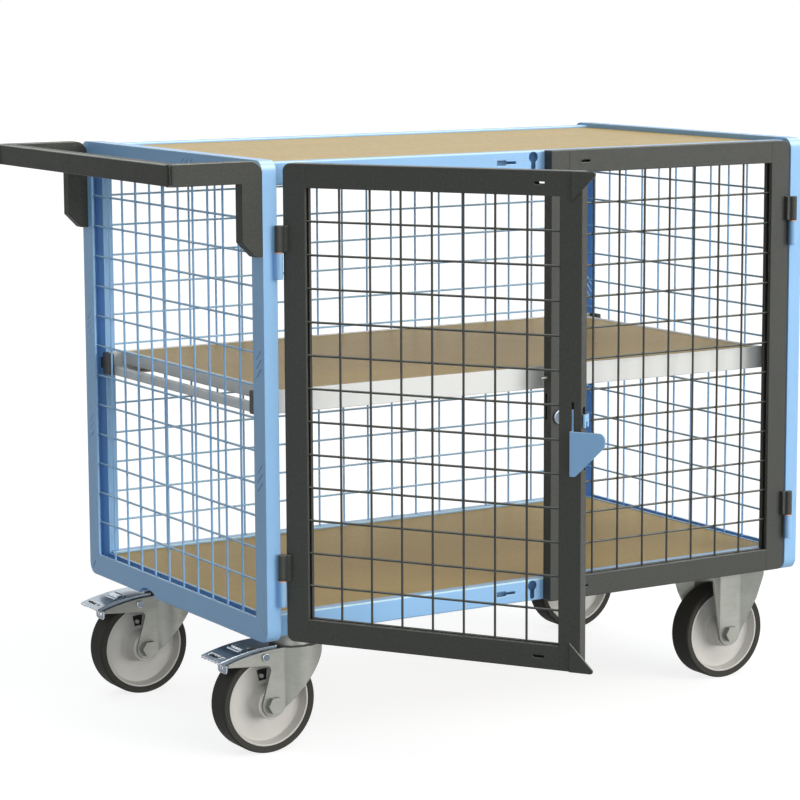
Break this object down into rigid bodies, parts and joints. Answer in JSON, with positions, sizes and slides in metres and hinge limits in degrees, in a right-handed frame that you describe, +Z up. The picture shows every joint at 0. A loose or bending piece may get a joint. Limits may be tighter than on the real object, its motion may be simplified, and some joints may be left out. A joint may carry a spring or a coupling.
{
  "type": "workbench trolley",
  "caption": "Wheeled wire-mesh cabinet with a wooden worktop, an inner shelf, hinged lockable doors, a push handle at one end, braked swivel casters and fixed casters.",
  "frame": {"origin": "on the floor under the middle of the cabinet", "axes": "+X along the cabinet from the push handle to the fixed casters, -Y out of the doors, +Z up"},
  "size_m": [1.173, 1.0681, 0.922],
  "materials": {
    "frame_paint": "light blue powder coat",
    "door_paint": "anthracite powder coat",
    "handle_paint": "dark grey powder coat",
    "shelf_paint": "pale grey powder coat",
    "wood": "pale laminate",
    "black_plastic": "moulded",
    "zinc": "zinc plated",
    "copper": "copper washer",
    "chrome": "polished",
    "rim_nylon": "moulded nylon",
    "tyre_rubber": "grey rubber"
  },
  "bodies": {
    "cabinet": {"left_front_post": "frame_paint", "left_rear_post": "frame_paint", "left_end_rails": "frame_paint", "right_front_post": "frame_paint", "right_rear_post": "frame_paint", "right_end_rails": "frame_paint", "left_mesh": "frame_paint", "right_mesh": "frame_paint", "back_mesh": "frame_paint", "front_top_rail": "frame_paint", "front_bottom_rail": "frame_paint", "rear_top_rail": "frame_paint", "rear_bottom_rail": "frame_paint", "worktop_board": "wood", "base_board": "wood", "base_bearers": "frame_paint", "shelf_rails": "shelf_paint", "shelf_end_caps": "black_plastic", "shelf_cross_bars": "shelf_paint", "shelf_board": "wood", "shelf_board_edges": "shelf_paint", "handle_arms": "handle_paint", "handle_bar": "handle_paint", "post_knuckles": "frame_paint", "hinge_pins": "zinc", "hinge_washers": "copper", "swivel_top_plates": "zinc", "fixed_forks": "zinc", "fixed_axles": "zinc", "caster_bolts": "zinc"},
    "left_door": {"left_door_hinge_stile": "door_paint", "left_door_rails": "door_paint", "left_door_free_stile": "door_paint", "left_door_mesh": "door_paint", "left_door_knuckles": "door_paint", "left_door_stop_plates": "door_paint"},
    "right_door": {"right_door_hinge_stile": "door_paint", "right_door_rails": "door_paint", "right_door_free_stile": "door_paint", "right_door_mesh": "door_paint", "right_door_knuckles": "door_paint", "right_door_strike_pin": "zinc"},
    "latch": {"latch": "frame_paint"},
    "lock": {"lock_cylinder": "chrome"},
    "front_left_swivel": {"front_left_fork": "zinc", "front_left_axle": "zinc"},
    "front_left_brake": {"front_left_pedal": "chrome"},
    "rear_left_swivel": {"rear_left_fork": "zinc", "rear_left_axle": "zinc"},
    "rear_left_brake": {"rear_left_pedal": "chrome"},
    "front_left_wheel": {"front_left_rim": "rim_nylon", "front_left_tyre": "tyre_rubber"},
    "rear_left_wheel": {"rear_left_rim": "rim_nylon", "rear_left_tyre": "tyre_rubber"},
    "front_right_wheel": {"front_right_rim": "rim_nylon", "front_right_tyre": "tyre_rubber"},
    "rear_right_wheel": {"rear_right_rim": "rim_nylon", "rear_right_tyre": "tyre_rubber"}
  },
  "joints": [
    {"name": "left_door_hinge", "type": "hinge", "parent": "cabinet", "child": "left_door", "pos_m": [-0.487, -0.3195, 0.557], "axis": [0, 0, -1], "range_deg": [-57, 123]},
    {"name": "right_door_hinge", "type": "hinge", "parent": "cabinet", "child": "right_door", "pos_m": [0.487, -0.3195, 0.557], "axis": [0, 0, 1], "range_deg": [0, 180]},
    {"name": "latch_slide", "type": "slide", "parent": "left_door", "child": "latch", "axis": [0, 0, 1], "range_m": [0, 0.009]},
    {"name": "lock_turn", "type": "hinge", "parent": "right_door", "child": "lock", "pos_m": [0.0234, -0.312, 0.495], "axis": [0, -1, 0], "range_deg": [0, 90]},
    {"name": "front_left_swivel_turn", "type": "hinge", "parent": "cabinet", "child": "front_left_swivel", "pos_m": [-0.417, -0.218, 0.185], "axis": [0, 0, 1], "continuous": true},
    {"name": "front_left_brake_press", "type": "hinge", "parent": "front_left_swivel", "child": "front_left_brake", "pos_m": [-0.482, -0.218, 0.157], "axis": [0, -1, 0], "range_deg": [0, 6]},
    {"name": "front_left_wheel_roll", "type": "hinge", "parent": "front_left_swivel", "child": "front_left_wheel", "pos_m": [-0.468, -0.218, 0.08], "axis": [0, 1, 0], "continuous": true},
    {"name": "rear_left_swivel_turn", "type": "hinge", "parent": "cabinet", "child": "rear_left_swivel", "pos_m": [-0.417, 0.218, 0.185], "axis": [0, 0, 1], "continuous": true},
    {"name": "rear_left_brake_press", "type": "hinge", "parent": "rear_left_swivel", "child": "rear_left_brake", "pos_m": [-0.482, 0.218, 0.157], "axis": [0, -1, 0], "range_deg": [0, 6]},
    {"name": "rear_left_wheel_roll", "type": "hinge", "parent": "rear_left_swivel", "child": "rear_left_wheel", "pos_m": [-0.468, 0.218, 0.08], "axis": [0, 1, 0], "continuous": true},
    {"name": "front_right_wheel_roll", "type": "hinge", "parent": "cabinet", "child": "front_right_wheel", "pos_m": [0.417, -0.218, 0.08], "axis": [0, 1, 0], "continuous": true},
    {"name": "rear_right_wheel_roll", "type": "hinge", "parent": "cabinet", "child": "rear_right_wheel", "pos_m": [0.417, 0.218, 0.08], "axis": [0, 1, 0], "continuous": true}
  ]
}
